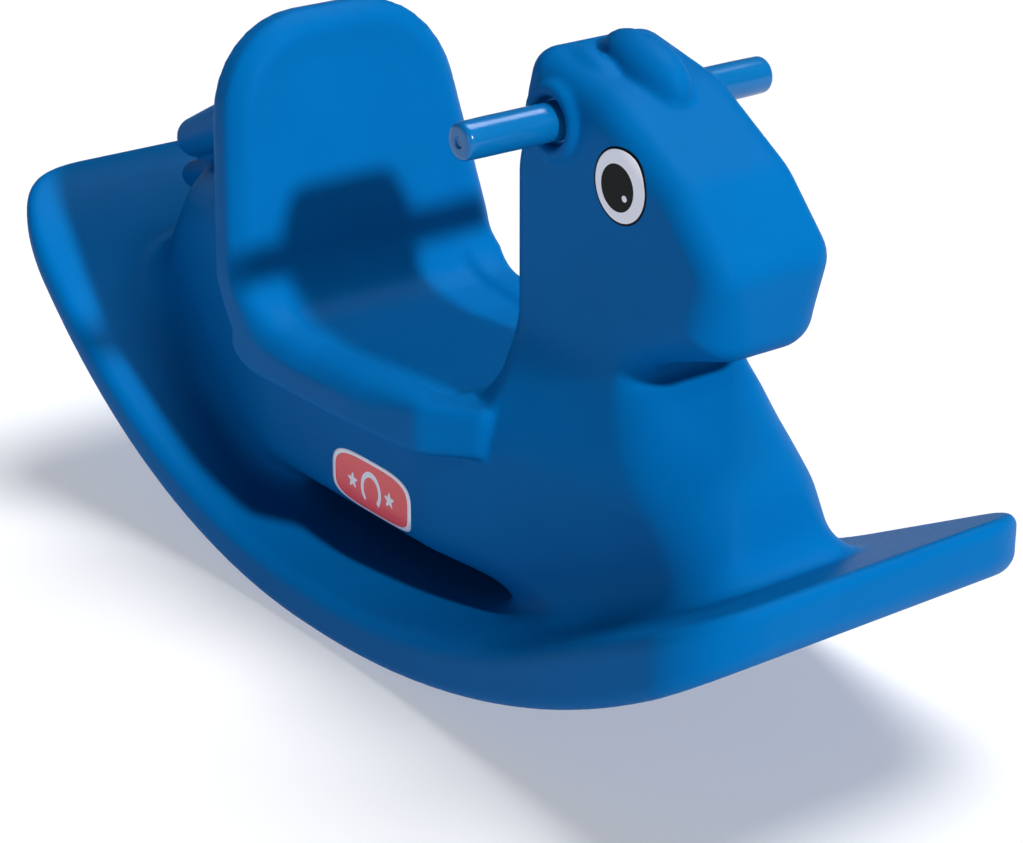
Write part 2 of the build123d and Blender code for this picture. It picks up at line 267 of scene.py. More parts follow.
# ---------------------------------------------------------------- the moulding's masses
@dataclass
class RockerBoard:
    """Curved board: two rocking arcs with a short flat between them, and a level lip at the rear."""

    length: float
    width: float
    depth: float = 32.0
    rear_radius: float = 490.0
    front_radius_under: float = 685.0
    front_radius_upper: float = 560.0
    slope_under: float = 60.0    # degrees at which the front arc runs on straight, never reached underneath
    slope_upper: float = 27.0
    flat: tuple[float, float] = (2.0, 18.0)
    lip_top: float = 216.0
    lip_depth: float = 25.0
    lip_reach: float = 44.0
    rear_corner: float = 78.0
    front_corner: float = 53.0
    edge_round: float = 10.0
    ARC_SHARE = 0.97             # of the rear radius is as far as that arc is followed

    def rise(self, x: Array, front_radius: float, steepest: float, lip: float) -> Array:
        """Height of a rocking curve above its lowest point: radius minus the root of radius^2 - run^2.

        Args:
            x: place along the board.
            front_radius: radius of the arc ahead of the flat.
            steepest: slope in degrees past which the front arc runs on straight.
            lip: height that the rear arc levels off to.

        Returns:
            Height at each place.
        """
        behind = np.clip(self.flat[0] - x, 0.0, self.rear_radius * self.ARC_SHARE)
        ahead = np.maximum(x - self.flat[1], 0.0)
        bent = np.minimum(ahead, front_radius * math.sin(math.radians(steepest)))
        rear = self.rear_radius - np.sqrt(self.rear_radius ** 2 - behind ** 2)
        front = front_radius - np.sqrt(front_radius ** 2 - bent ** 2)
        front = front + (ahead - bent) * math.tan(math.radians(steepest))
        return soft_least(rear, np.full_like(rear, lip), self.lip_reach) + front

    def underside(self, x: Array) -> Array:
        """Height of the board's underside at each place x."""
        return self.rise(x, self.front_radius_under, self.slope_under, self.lip_top - self.lip_depth)

    def upper(self, x: Array) -> Array:
        """Height of the board's upper face at each place x."""
        lip = self.lip_top - self.depth
        return self.rise(x, self.front_radius_upper, self.slope_upper, lip) + self.depth

    def beneath(self, x: Array, z: Array) -> Array:
        """Distance below the underside, negative above it.

        Args:
            x, z: place.

        Returns:
            Distance square to the curve.
        """
        slope = (self.underside(x + 1.0) - self.underside(x - 1.0)) / 2.0
        return (self.underside(x) - z) / np.sqrt(1.0 + slope ** 2)

    def distance(self, x: Array, y: Array, z: Array) -> Array:
        """Slab between the two curves, trimmed to a plan with rounded ends.

        Args:
            x, y, z: place, with y measured from the middle plane.

        Returns:
            Distance to the board.
        """
        slope = (self.upper(x + 1.0) - self.upper(x - 1.0)) / 2.0
        slab = np.maximum(self.underside(x) - z, z - self.upper(x)) / np.sqrt(1.0 + slope ** 2)
        corner = np.where(x < 0.0, self.rear_corner, self.front_corner)
        out_x = np.abs(x) - self.length / 2 + corner
        out_y = y - self.width / 2 + corner
        plan = np.minimum(np.maximum(out_x, out_y), 0.0) - corner
        plan = plan + np.hypot(np.maximum(out_x, 0.0), np.maximum(out_y, 0.0))
        return round_meet(slab, plan, self.edge_round)


@dataclass
class Barrel:
    """Rump, barrel, chest, neck and head: one side outline whose half width narrows towards the head."""

    barrel_half: float
    head_half: float
    side: Outline = Outline((
        (-338, 60, 0), (-338, 174, 36), (-288, 238, 50), (-222, 262, 30), (-150, 262, 0), (-150, 170, 0),
        (112, 170, 0), (112, 350, 60), (136, 431, 18), (214, 412, 60), (280, 371, 60), (322, 325, 26),
        (314, 266, 18), (260, 251, 30), (238, 240, 7), (262, 224, 24),
        (316, 180, 70), (350, 128, 50), (352, 60, 0)))
    rump_half: float = 52.0
    chest_half: float = 55.0
    rear_x: float = -340.0
    front_x: float = 352.0
    neck_rise: tuple[float, float] = (158.0, 252.0)    # heights between which the barrel narrows to the head
    neck_start: tuple[float, float] = (40.0, 100.0)
    edge: float = 19.0                                 # edge radius, and what each stretch adds to it
    muzzle_edge: float = 13.0
    nape_edge: float = 8.0
    rump_edge: float = 19.0
    chest_edge: float = 15.0

    def plan(self) -> Outline:
        """Barrel seen from above: widest under the seat, drawn in towards rump and chest.

        Returns:
            Outline across X and Y.
        """
        near = ((self.front_x, self.chest_half, 30), (70, self.barrel_half, 150),
                (-120, self.barrel_half, 150), (self.rear_x, self.rump_half, 34))
        return Outline.mirrored(near)

    def distance(self, x: Array, y: Array, z: Array) -> Array:
        """Side outline met by the half width, with edge radii that suit rump, muzzle and neck.

        Args:
            x, y, z: place, with y measured from the middle plane.

        Returns:
            Distance to the barrel, neck and head.
        """
        outline = self.side.distance(x, z)
        neck = soft_step(z, *self.neck_rise) * soft_step(x, *self.neck_start)
        flank = self.plan().distance(x, y)
        flank = flank + (y - self.head_half - flank) * neck
        muzzle = soft_step(x, 225.0, 300.0) * soft_step(z, 335.0, 270.0)
        nape = soft_step(x, 175.0, 120.0) * soft_step(z, 400.0, 370.0)
        rump = soft_step(x, -140.0, -220.0)
        chest = soft_step(z, 240.0, 190.0) * soft_step(x, 200.0, 250.0)
        edge = (self.edge + self.muzzle_edge * muzzle + self.nape_edge * nape + self.rump_edge * rump
                + self.chest_edge * chest)
        return round_meet(outline, flank, edge)


@dataclass
class Seat:
    """Bucket seat: one bent plate, with pan and back panel sunk a little inside a rounded border."""

    half: float = 113.0
    front_half: float = 82.0
    lean: float = 11.5
    back_foot: tuple[float, float] = (-116.0, 152.0)
    thickness: float = 32.0
    arch: Outline = Outline((
        (113.5, -160, 0), (113.5, 62, 160), (88, 237, 76),
        (-88, 237, 76), (-113.5, 62, 160), (-113.5, -160, 0)))
    border: float = 22.0
    bend: float = 46.0           # radius between pan and back
    under_bend: float = 44.0
    edge: float = 7.0
    rider_edge: float = 12.0     # added where the border faces the rider
    pan_half: float = 84.0
    pan_depth: float = 5.0
    panel_depth: float = 2.5
    front_x: float = 136.0

    def section(self) -> Outline:
        """Side view of the bent plate: seat, a bend of large radius, and the leaning back.

        Returns:
            Outline across X and Z.
        """
        lean = math.radians(self.lean)
        up = np.array([-math.sin(lean), math.cos(lean)])
        forward = np.array([math.cos(lean), math.sin(lean)])
        foot = np.array(self.back_foot)
        top = foot + up * 300.0
        rear_top = top - forward * self.thickness / 2
        front_top = top + forward * self.thickness / 2
        inner = foot + forward * self.thickness / 2 + up * 32.0 + 2.0
        rear_foot = foot - forward * self.thickness / 2 - up * 2.0
        return Outline((
            (*rear_top, 0), (*rear_foot, self.under_bend), (-20, 147, 200), (80, 149, 200),
            (self.front_x, 154, 4), (self.front_x, 189, 5), (60, 186, 200), (-40, 181, 120),
            (*inner, self.bend), (*front_top, 0)))

    def plan(self) -> Outline:
        """Seat from above: parallel sides, and front corners cut back towards the neck.

        Returns:
            Outline across X and Y.
        """
        near = ((-300, self.half, 0), (20, self.half, 200), (94, self.half - 5, 26),
                (self.front_x + 2, self.front_half, 5))
        return Outline.mirrored(near)

    def distance(self, x: Array, y: Array, z: Array) -> Array:
        """Bent plate met by its plan and its arch, less the sunken pan and panel.

        Args:
            x, y, z: place, with y measured from the middle plane.

        Returns:
            Distance to the seat.
        """
        lean = math.radians(self.lean)
        from_foot_x = x - self.back_foot[0]
        from_foot_z = z - self.back_foot[1]
        up = from_foot_z * math.cos(lean) - from_foot_x * math.sin(lean)
        forward = from_foot_x * math.cos(lean) + from_foot_z * math.sin(lean)
        arch = self.arch.distance(y + 0.0 * up, up + 0.0 * y)
        plan = self.plan().distance(x, y)
        rim = np.maximum(arch, plan)
        section = self.section().distance(x, z)
        inward = np.maximum(soft_step(forward, -4.0, 12.0) * soft_step(up, 20.0, 60.0),
                            soft_step(z, 160.0, 175.0) * soft_step(up, 60.0, 20.0))
        edge = self.edge + self.rider_edge * inward * soft_step(x, 110.0, 30.0)
        plate = round_meet(section, rim, edge)
        facing_rider = soft_step(forward, 0.0, 12.0)
        panel = self.panel_depth * soft_step(-arch, self.border - 8.0, self.border + 16.0)
        panel = panel * facing_rider * soft_step(up, 34.0, 70.0)
        pan_sides = soft_step(self.pan_half - y, 0.0, 12.0)
        pan = self.pan_depth * pan_sides * soft_step(x, -116.0, -96.0) * soft_step(x, 100.0, 84.0)
        pan = pan * soft_step(z, 165.0, 176.0) * soft_step(z, 230.0, 196.0)
        return plate + panel + pan


@dataclass
class Forelock:
    """Tuft on the brow: a broad middle lock, and a short lock each side set off by creases."""

    middle: tuple[float, float, float] = (193.0, 0.0, 416.0)
    middle_radii: tuple[float, float, float] = (39.0, 19.0, 21.0)
    side: tuple[float, float, float] = (172.0, 25.0, 414.0)
    side_radii: tuple[float, float, float] = (28.0, 11.0, 13.0)
    tilt: float = 17.0
    crease: float = 2.5

    def distance(self, x: Array, y: Array, z: Array) -> Array:
        """Ellipsoids laid along the slope of the brow.

        Args:
            x, y, z: place, with y measured from the middle plane.

        Returns:
            Distance to the tuft.
        """
        slope = math.radians(self.tilt)

        def lock(centre: Sequence[float], radii: Sequence[float]) -> Array:
            """Ellipsoid whose long axis runs down the brow."""
            dx, dz = x - centre[0], z - centre[2]
            along = dx * math.cos(slope) - dz * math.sin(slope)
            proud = dx * math.sin(slope) + dz * math.cos(slope)
            return ball(along, y, proud, (0.0, centre[1], 0.0), radii)

        middle, side = lock(self.middle, self.middle_radii), lock(self.side, self.side_radii)
        return round_join(middle, side, self.crease)


@dataclass
class Tail:
    """Locks of hair behind the seat back, in two tiers, each split by a crease down the middle."""

    locks: tuple[tuple[tuple[float, float, float], tuple[float, float, float], float, float], ...] = (
        ((-196.0, 15.0, 304.0), (-319.0, 17.0, 250.0), 25.0, 15.5),
        ((-206.0, 12.0, 256.0), (-329.0, 13.0, 217.0), 21.0, 11.0),
    )
    crease: float = 4.0

    def distance(self, x: Array, y: Array, z: Array) -> Array:
        """Tapered bars joined with shallow creases.

        Args:
            x, y, z: place, with y measured from the middle plane.

        Returns:
            Distance to the tail.
        """
        upper, lower = (tapered_bar(x, y, z, *lock) for lock in self.locks)
        return round_join(upper, lower, self.crease)


@dataclass
class Moulding:
    """The body: all masses joined, with a ring and a recess for each handle and a recess for the plug."""

    board: RockerBoard
    barrel: Barrel
    seat: Seat
    forelock: Forelock
    tail: Tail
    handle_axis: tuple[float, float]
    plug_x: float
    plug_radius: float
    cell: float
    margin: float = 8.0
    board_fillet: float = 26.0
    seat_fillet: float = 3.0
    neck_fillet: float = 20.0    # added to the seat's fillet where the pan meets the neck
    tail_fillet: float = 5.0
    forelock_fillet: float = 2.5
    ring_fillet: float = 3.0
    socket_edge: float = 2.0
    plug_clearance: float = 0.6
    ring_radius: float = 20.6
    ring_bead: float = 5.0
    socket_radius: float = 15.8
    socket_depth: float = 5.0
    plug_recess: float = 3.0
    EASE_PASSES = 6

    def distance(self, x: Array, y: Array, z: Array) -> Array:
        """Masses joined one after another, each with the fillet that the moulding has at that seam.

        Args:
            x, y, z: place.

        Returns:
            Distance to the moulding's surface, negative inside.
        """
        y = np.abs(y)
        board = self.board.distance(x, y, z)
        barrel = self.barrel.distance(x, y, z)
        form = round_join(board, barrel, self.board_fillet)
        above_seat = soft_step(z, 172.0, 195.0) * soft_step(x, 60.0, 120.0)
        near_neck = soft_step(y, 80.0, 56.0)
        seat_fillet = self.seat_fillet + self.neck_fillet * above_seat * near_neck
        form = round_join(form, self.seat.distance(x, y, z), seat_fillet)
        form = np.maximum(form, self.board.beneath(x, z))
        form = round_join(form, self.tail.distance(x, y, z), self.tail_fillet)
        form = round_join(form, self.forelock.distance(x, y, z), self.forelock_fillet)
        head_half = self.barrel.head_half
        from_axis = np.hypot(x - self.handle_axis[0], z - self.handle_axis[1])
        ring = np.hypot(from_axis - self.ring_radius, y - head_half) - self.ring_bead
        form = round_join(form, ring, self.ring_fillet)
        socket = np.maximum(from_axis - self.socket_radius, head_half - self.socket_depth - y)
        form = round_meet(form, -socket, self.socket_edge)
        from_plug = np.hypot(x - self.plug_x, y) - self.plug_radius
        plug_seat = np.maximum(from_plug - self.plug_clearance, z - self.plug_recess)
        return np.maximum(form, -plug_seat)

    def settle(self, points: Array, passes: int) -> Array:
        """Move points onto the surface: each steps along the slope of the distance by the distance.

        Args:
            points: places near the surface, one row each.
            passes: number of steps.

        Returns:
            Places on the surface.
        """
        tick = 0.05
        for _ in range(passes):
            here = self.distance(*points.T)
            slope = np.stack([(self.distance(*(points + tick * axis).T) - here) / tick
                              for axis in np.eye(3)], axis=1)
            steep = np.maximum((slope ** 2).sum(1), 0.2)
            step = np.clip(here / steep, -self.cell / 2, self.cell / 2)
            points = points - slope * step[:, None]
        return points

    def skin(self) -> tuple[Array, Array]:
        """Lay four-sided faces over the zero surface.

        A grid of cells samples the distance. Each cell that the surface passes through holds one point, and
        each grid edge that it crosses makes a face from the points of the four cells round that edge. The
        points are evened out among their neighbours and settled onto the surface in turn.

        Returns:
            Points in millimetres and faces as rows of four point numbers.
        """
        low, high = (np.array(corner) / MM for corner in CAD_BOX)
        reach = (high - low) / 2 + self.margin
        middle = np.array([(low[0] + high[0]) / 2, 0.0, (low[2] + high[2]) / 2])
        counts = np.ceil(reach / self.cell).astype(int) * 2
        nodes = [m + self.cell * (np.arange(n) - (n - 1) / 2) for m, n in zip(middle, counts)]
        x, y, z = np.ix_(*nodes)
        inside = self.distance(x, y, z) < 0
        cells = np.zeros([n - 1 for n in inside.shape], int)
        for corner in np.ndindex(2, 2, 2):
            cells += inside[tuple(slice(c, n - 1 + c) for c, n in zip(corner, inside.shape))]
        crossed = (cells > 0) & (cells < 8)
        number = np.full(crossed.shape, -1)
        number[crossed] = np.arange(crossed.sum())
        points = np.stack([axis[i] + self.cell / 2 for axis, i in zip(nodes, np.nonzero(crossed))], axis=1)
        faces = []
        for axis in range(3):
            start = np.moveaxis(inside, axis, 0)[:-1]
            end = np.moveaxis(inside, axis, 0)[1:]
            places = np.moveaxis(np.array(np.nonzero(start != end)), 0, 1)
            leaving = start[tuple(places.T)]
            spot = np.insert(places[:, 1:], axis, places[:, 0], axis=1)
            first, second = (axis + 1) % 3, (axis + 2) % 3
            ring = []
            for step_first, step_second in ((0, 0), (-1, 0), (-1, -1), (0, -1)):
                cell = spot.copy()
                cell[:, first] += step_first
                cell[:, second] += step_second
                ring.append(number[tuple(cell.T)])
            face = np.stack(ring, axis=1)
            faces.append(np.where(leaving[:, None], face, face[:, ::-1]))
        faces = np.concatenate(faces)
        points = self.settle(points, 3)
        for _ in range(self.EASE_PASSES):
            points = self.settle(self.even_out(points, faces), 1)
        return self.settle(points, 2), faces

    @staticmethod
    def even_out(points: Array, faces: Array) -> Array:
        """Move every point halfway to the mean of the points it shares an edge with.

        Args:
            points: the skin's points.
            faces: the skin's faces.

        Returns:
            Evened points.
        """
        total = np.zeros_like(points)
        count = np.zeros(len(points))
        for side in range(4):
            a, b = faces[:, side], faces[:, (side + 1) % 4]
            for here, other in ((a, b), (b, a)):
                count += np.bincount(here, minlength=len(points))
                for axis in range(3):
                    total[:, axis] += np.bincount(here, weights=points[other, axis], minlength=len(points))
        return 0.5 * points + 0.5 * total / np.maximum(count, 1)[:, None]

    def side_height(self, x: Array, z: Array, start: float) -> Array:
        """Distance from the middle plane at which the surface is met, looking inwards from the side.

        Args:
            x: places along X.
            z: places along Z.
            start: distance from the middle plane just outside the surface.

        Returns:
            Y of the surface at each place.
        """
        outer = np.full(np.shape(x), start)
        inner = outer - 25.0
        for _ in range(24):
            half = (outer + inner) / 2
            solid = self.distance(x, half, z) < 0
            inner = np.where(solid, half, inner)
            outer = np.where(solid, outer, half)
        return outer

    def build(self, finish: "Finish") -> bpy.types.Object:
        """Make the body and let it stand for the CAD shell.

        Args:
            finish: material of the moulding.

        Returns:
            The body piece.
        """
        points, faces = self.skin()
        piece = mesh_piece("body_moulding", points, faces, finish)
        return seated(piece, "body_shell")


# ---------------------------------------------------------------- meshes
def mesh_piece(name: str, points: Array, faces: Array | list, *finishes: "Finish") -> bpy.types.Object:
    """Make a smooth-shaded object from points in millimetres.

    Args:
        name: name of the piece.
        points: its points, one row each.
        faces: rows of point numbers.
        finishes: materials in slot order.

    Returns:
        The new object, at the origin.
    """
    mesh = bpy.data.meshes.new(name)
    mesh.from_pydata((points * MM).tolist(), [], [list(map(int, face)) for face in faces])
    mesh.polygons.foreach_set("use_smooth", np.ones(len(mesh.polygons), bool))
    for finish in finishes:
        mesh.materials.append(finish.material())
    mesh.update()
    piece = bpy.data.objects.new(name, mesh)
    bpy.context.scene.collection.objects.link(piece)
    return piece


def seated(piece: bpy.types.Object, node: str) -> bpy.types.Object:
    """Put a piece in the place of a CAD node: parent it to the body and hide the node.

    Args:
        piece: the new piece.
        node: the CAD node it stands for.

    Returns:
        The same piece.
    """
    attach(piece, BODY)
    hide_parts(node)
    log.info("%s stands for %s: %d faces", piece.name, node, len(piece.data.polygons))
    return piece


def turned_faces(rings: int, segments: int) -> list[list[int]]:
    """Faces of a turned form: a pole, rings of points, and a second pole.

    Args:
        rings: number of rings between the poles.
        segments: points in each ring.

    Returns:
        Rows of point numbers; point 0 is the first pole and the last point is the second.
    """
    ring = np.arange(segments)
    following = (ring + 1) % segments
    last = rings * segments + 1
    faces = [[0, 1 + a, 1 + b] for a, b in zip(following, ring)]
    for row in range(rings - 1):
        near = 1 + row * segments
        far = near + segments
        faces += np.stack([near + ring, near + following, far + following, far + ring], axis=1).tolist()
    tail = 1 + (rings - 1) * segments
    return faces + [[last, tail + a, tail + b] for a, b in zip(ring, following)]


def turned_along(profile: Array, centre: Array, axis: Array, across: Array, segments: int = 64) -> Array:
    """Turn a profile about an axis: centre + axis * s + radius * (cos a * across + sin a * third).

    Args:
        profile: (place along the axis, radius) from pole to pole; the first and last radius are 0.
        centre: point on the axis.
        axis: unit direction of the axis.
        across: unit direction at right angles to it.
        segments: points in each ring.

    Returns:
        Points in the order that turned_faces uses.
    """
    angle = np.linspace(0.0, 2 * np.pi, segments, endpoint=False)
    third = np.cross(axis, across)
    spoke = np.cos(angle)[:, None] * across + np.sin(angle)[:, None] * third
    rings = centre + profile[1:-1, 0, None, None] * axis + profile[1:-1, 1, None, None] * spoke[None]
    poles = centre + profile[[0, -1], 0, None] * axis
    return np.concatenate([poles[:1], rings.reshape(-1, 3), poles[1:]])


def rounded(profile: Sequence[tuple[float, float, float]]) -> Array:
    """Open profile with an arc at each inner corner.

    Args:
        profile: (place along the axis, radius, corner radius) from pole to pole.

    Returns:
        Points along the profile; the first and last are the poles.
    """
    way = [np.array(profile[0][:2], float)]
    for before, here, after in zip(profile, profile[1:], profile[2:]):
        corner = np.array(here[:2], float)
        back = np.array(before[:2]) - corner
        ahead = np.array(after[:2]) - corner
        reach = min(here[2], np.linalg.norm(back) * 0.49, np.linalg.norm(ahead) * 0.49)
        start = corner + back / np.linalg.norm(back) * reach
        end = corner + ahead / np.linalg.norm(ahead) * reach
        t = np.linspace(0.0, 1.0, 7)[:, None]
        way.extend((1 - t) ** 2 * start + 2 * t * (1 - t) * corner + t ** 2 * end)
    way.append(np.array(profile[-1][:2], float))
    return np.array(way)


# ---------------------------------------------------------------- handles and plug
@dataclass
class Handle:
    """Push-in handle: collar in the moulded recess, round grip, soft tip with a moulding dimple."""

    hand: Hand
    grip_radius: float
    tip: float
    axis_x: float
    axis_z: float
    root: float = 38.0
    collar_radius: float = 14.5
    collar_end: float = 47.4
    tip_round: float = 6.5
    dimple_radius: float = 4.0
    dimple_depth: float = 1.3

    def build(self, finish: "Finish") -> bpy.types.Object:
        """Turn the handle's profile about its axis.

        Args:
            finish: material of the handle.

        Returns:
            The handle piece.
        """
        radius = self.grip_radius
        profile = rounded((
            (self.root, 0.0, 0.0), (self.root, self.collar_radius, 1.0),
            (self.collar_end, self.collar_radius, 1.2), (self.collar_end, radius, 1.0),
            (self.tip - 22.0, radius, 4.0), (self.tip, radius - 0.3, self.tip_round),
            (self.tip, self.dimple_radius, 1.2),
            (self.tip - self.dimple_depth, self.dimple_radius - 0.8, 0.6),
            (self.tip - self.dimple_depth, 0.0, 0.0)))
        side = self.hand.value
        axis = np.array([0.0, side, 0.0])
        across = np.array([1.0, 0.0, 0.0])
        points = turned_along(profile, np.array([self.axis_x, 0.0, self.axis_z]), axis, across)
        name = self.hand.name.lower()
        piece = mesh_piece(f"handle_grip_{name}", points, turned_faces(len(profile) - 2, 64), finish)
        return seated(piece, f"handle_{name}")


@dataclass
class VentPlug:
    """Snap-in plug in the underside: domed head with a rim, and a stub inside the wall."""

    x: float
    radius: float
    head: tuple[float, float]
    top: float

    def build(self, finish: "Finish") -> bpy.types.Object:
        """Turn the plug's profile about the upright axis.

        Args:
            finish: material of the plug.

        Returns:
            The plug piece.
        """
        low, high = self.head
        stub = self.radius * 0.62
        profile = rounded((
            (low + 0.5, 0.0, 0.0), (low + 0.5, self.radius * 0.55, 0.4), (low, self.radius * 0.62, 0.4),
            (low, self.radius - 0.2, 0.7), (high, self.radius - 0.2, 0.4), (high, stub, 0.4),
            (self.top - 1.5, stub, 1.0), (self.top - 0.4, stub - 1.5, 0.6), (self.top - 0.4, 0.0, 0.0)))
        axis = np.array([0.0, 0.0, 1.0])
        points = turned_along(profile, np.array([self.x, 0.0, 0.0]), axis, np.array([0.0, 1.0, 0.0]), 48)
        piece = mesh_piece("vent_plug_cap", points, turned_faces(len(profile) - 2, 48), finish)
        return seated(piece, "vent_plug")


# ---------------------------------------------------------------- stickers
@dataclass
class Sticker:
    """Thin closed vinyl sheets that follow the moulding: print, and a ring of painted shade round each eye.
    """

    body: Moulding
    hand: Hand
    start: float
    thickness: float = 0.34
    layer_step: float = 0.06

    def sheet(self, x: Array, z: Array, layer: int) -> tuple[Array, Array]:
        """Closed sheet on the moulding: top and underside grids sewn round their border.

        Args:
            x: places along X, rows by columns; the first and last column meet when the grid is a disc.
            z: places along Z.
            layer: how many layers lie beneath this one.

        Returns:
            Points and faces.
        """
        side = self.hand.value
        rows, columns = x.shape
        height = self.body.side_height(x, z, self.start)
        lift = self.thickness + layer * self.layer_step
        border = np.minimum(np.arange(rows), np.arange(rows)[::-1])[:, None]
        border = np.minimum(border, np.minimum(np.arange(columns), np.arange(columns)[::-1])[None])
        top = np.stack([x, side * (height + np.where(border == 0, 0.6, 1.0) * lift), z], axis=2)
        under = np.stack([x, side * (height - 0.4), z], axis=2)
        points = np.concatenate([top.reshape(-1, 3), under.reshape(-1, 3)])
        at = np.arange(rows * columns).reshape(rows, columns)
        quads = np.stack([at[:-1, :-1], at[:-1, 1:], at[1:, 1:], at[1:, :-1]], axis=2).reshape(-1, 4)
        rim = np.concatenate([at[0, :-1], at[:-1, -1], at[-1, :0:-1], at[:0:-1, 0]])
        following = np.roll(rim, -1)
        walls = np.stack([following, rim, rim + rows * columns, following + rows * columns], axis=1)
        faces = np.concatenate([quads, quads[:, ::-1] + rows * columns, walls])
        first, second, _, fourth = points[quads[0]]
        if np.cross(second - first, fourth - first)[1] * side < 0:
            faces = faces[:, ::-1]
        return points, faces

    @staticmethod
    def squircle(centre: tuple[float, float], half: tuple[float, float], power: float,
                 cells: int = 40) -> tuple[Array, Array]:
        """Grid over a superellipse |u/a|^p + |v/b|^p = 1: a square grid pressed outwards onto it.

        Each grid point (s, t) in a square is scaled by max(|s|, |t|) / (|s|^p + |t|^p)^(1/p).

        Args:
            centre: middle of the shape.
            half: half lengths a and b.
            power: p, 2 for an ellipse and more for squarer corners.
            cells: grid cells along each side.

        Returns:
            X and Z of the grid.
        """
        line = np.linspace(-1.0, 1.0, cells + 1)
        s, t = np.meshgrid(line, line, indexing="ij")
        size = (np.abs(s) ** power + np.abs(t) ** power) ** (1.0 / power)
        scale = np.where(size > 0, np.maximum(np.abs(s), np.abs(t)) / np.maximum(size, 1e-9), 1.0)
        return centre[0] + half[0] * s * scale, centre[1] + half[1] * t * scale

    def stack(self, name: str, node: str,
              layers: Sequence[tuple[Array, Array, "Finish"]]) -> bpy.types.Object:
        """Join the layers into one sticker.

        Args:
            name: name of the piece.
            node: CAD node that it stands for.
            layers: X grid, Z grid and finish of each layer, lowest first.

        Returns:
            The sticker piece.
        """
        points, faces, finishes, slots = [], [], [], []
        total = 0
        for number, (x, z, finish) in enumerate(layers):
            layer_points, layer_faces = self.sheet(x, z, number)
            if finish not in finishes:
                finishes.append(finish)
            points.append(layer_points)
            faces.append(layer_faces + total)
            slots.append(np.full(len(layer_faces), finishes.index(finish)))
            total += len(layer_points)
        piece = mesh_piece(name, np.concatenate(points), np.concatenate(faces), *finishes)
        piece.data.polygons.foreach_set("material_index", np.concatenate(slots).astype(np.int32))
        return seated(piece, node)


@dataclass
class EyeSticker(Sticker):
    """Round eye: a thin dark ring of painted shade, the white, a dark pupil and a small glint."""

    centre: tuple[float, float] = (230.0, 361.0)
    half: tuple[float, float] = (25.0, 24.5)
    white_share: float = 0.97
    pupil_share: float = 0.64
    glint: tuple[float, float] = (2.7, 2.4)

    def build(self, dark: "Finish", white: "Finish") -> bpy.types.Object:
        """Print the eye.

        Args:
            dark: finish of the painted shade ring round the white, and of the printed pupil.
            white: finish of the white of the eye and the glint.

        Returns:
            The eye piece.
        """
        x, z = self.centre
        a, b = self.half
        white_half = (a * self.white_share, b * self.white_share)
        pupil_half = (a * self.pupil_share, b * self.pupil_share)
        layers = (
            # Lowest layer: a thin dark ring of painted shade round the edge of the white.
            (*self.squircle((x, z), (a, b), 2.0), dark),
            (*self.squircle((x, z), white_half, 2.0), white),
            (*self.squircle((x - 2.4, z - 1.6), pupil_half, 2.0), dark),
            (*self.squircle((x + 4.6, z - 6.8), self.glint, 2.0, 12), white),
        )
        name = self.hand.name.lower()
        return self.stack(f"eye_{name}", f"eye_decal_{name}", layers)


@dataclass
class BadgeSticker(Sticker):
    """Plain oblong badge: coral plate with a white edge and a white horseshoe between two stars."""

    centre: tuple[float, float] = (12.0, 92.0)
    half: tuple[float, float] = (47.0, 22.0)
    shoe: float = 10.5
    shoe_band: float = 2.9
    star: float = 6.2
    star_offset: float = 22.0
    edge_line: float = 2.2

    def horseshoe(self) -> tuple[Array, Array]:
        """Open ring: middle line (r sin a, -1.12 r cos a) with a band that narrows to the heels.

        Returns:
            X and Z of the grid.
        """
        angle = np.linspace(math.radians(38), math.radians(322), 49)[:, None]
        across = np.linspace(-1.0, 1.0, 5)[None]
        band = self.shoe_band * (1.0 - 0.25 * np.abs((angle - np.pi) / np.pi))
        radius = self.shoe + band * across
        x = self.centre[0] + radius * np.sin(angle)
        z = self.centre[1] - 0.6 - 1.12 * radius * np.cos(angle)
        return x, z

    def starlet(self, offset: float) -> tuple[Array, Array]:
        """Five-pointed star: a disc whose radius swings five times between 0.45 and 1 times the star's.

        Args:
            offset: distance of the star from the badge's middle.

        Returns:
            X and Z of the grid.
        """
        x, z = self.squircle((0.0, 0.0), (1.0, 1.0), 2.0, 40)
        swing = np.abs(((np.arctan2(x, z) * 5 / (2 * np.pi)) % 1.0) * 2 - 1)
        radius = self.star * (0.45 + 0.55 * swing ** 1.4)
        return self.centre[0] + offset + x * radius, self.centre[1] + z * radius

    def build(self, plate: "Finish", motif: "Finish") -> bpy.types.Object:
        """Print the badge.

        Args:
            plate: finish of the coloured plate.
            motif: finish of the edge, the horseshoe and the stars.

        Returns:
            The badge piece.
        """
        a, b = self.half
        layers = (
            (*self.squircle(self.centre, (a, b), 3.6), motif),
            (*self.squircle(self.centre, (a - self.edge_line, b - self.edge_line), 3.5), plate),
            (*self.horseshoe(), motif),
            (*self.starlet(-self.star_offset), motif),
            (*self.starlet(self.star_offset), motif),
        )
        name = self.hand.name.lower()
        return self.stack(f"badge_{name}", f"badge_decal_{name}", layers)


# ---------------------------------------------------------------- finishes
def linear(colour: str) -> tuple[float, float, float, float]:
    """Turn an sRGB hex colour to linear light.

    Args:
        colour: six hex digits after a hash.

    Returns:
        Red, green, blue and alpha.
    """
    parts = [int(colour[i:i + 2], 16) / 255 for i in (1, 3, 5)]
    red, green, blue = (c / 12.92 if c <= 0.04045 else ((c + 0.055) / 1.055) ** 2.4 for c in parts)
    return red, green, blue, 1.0


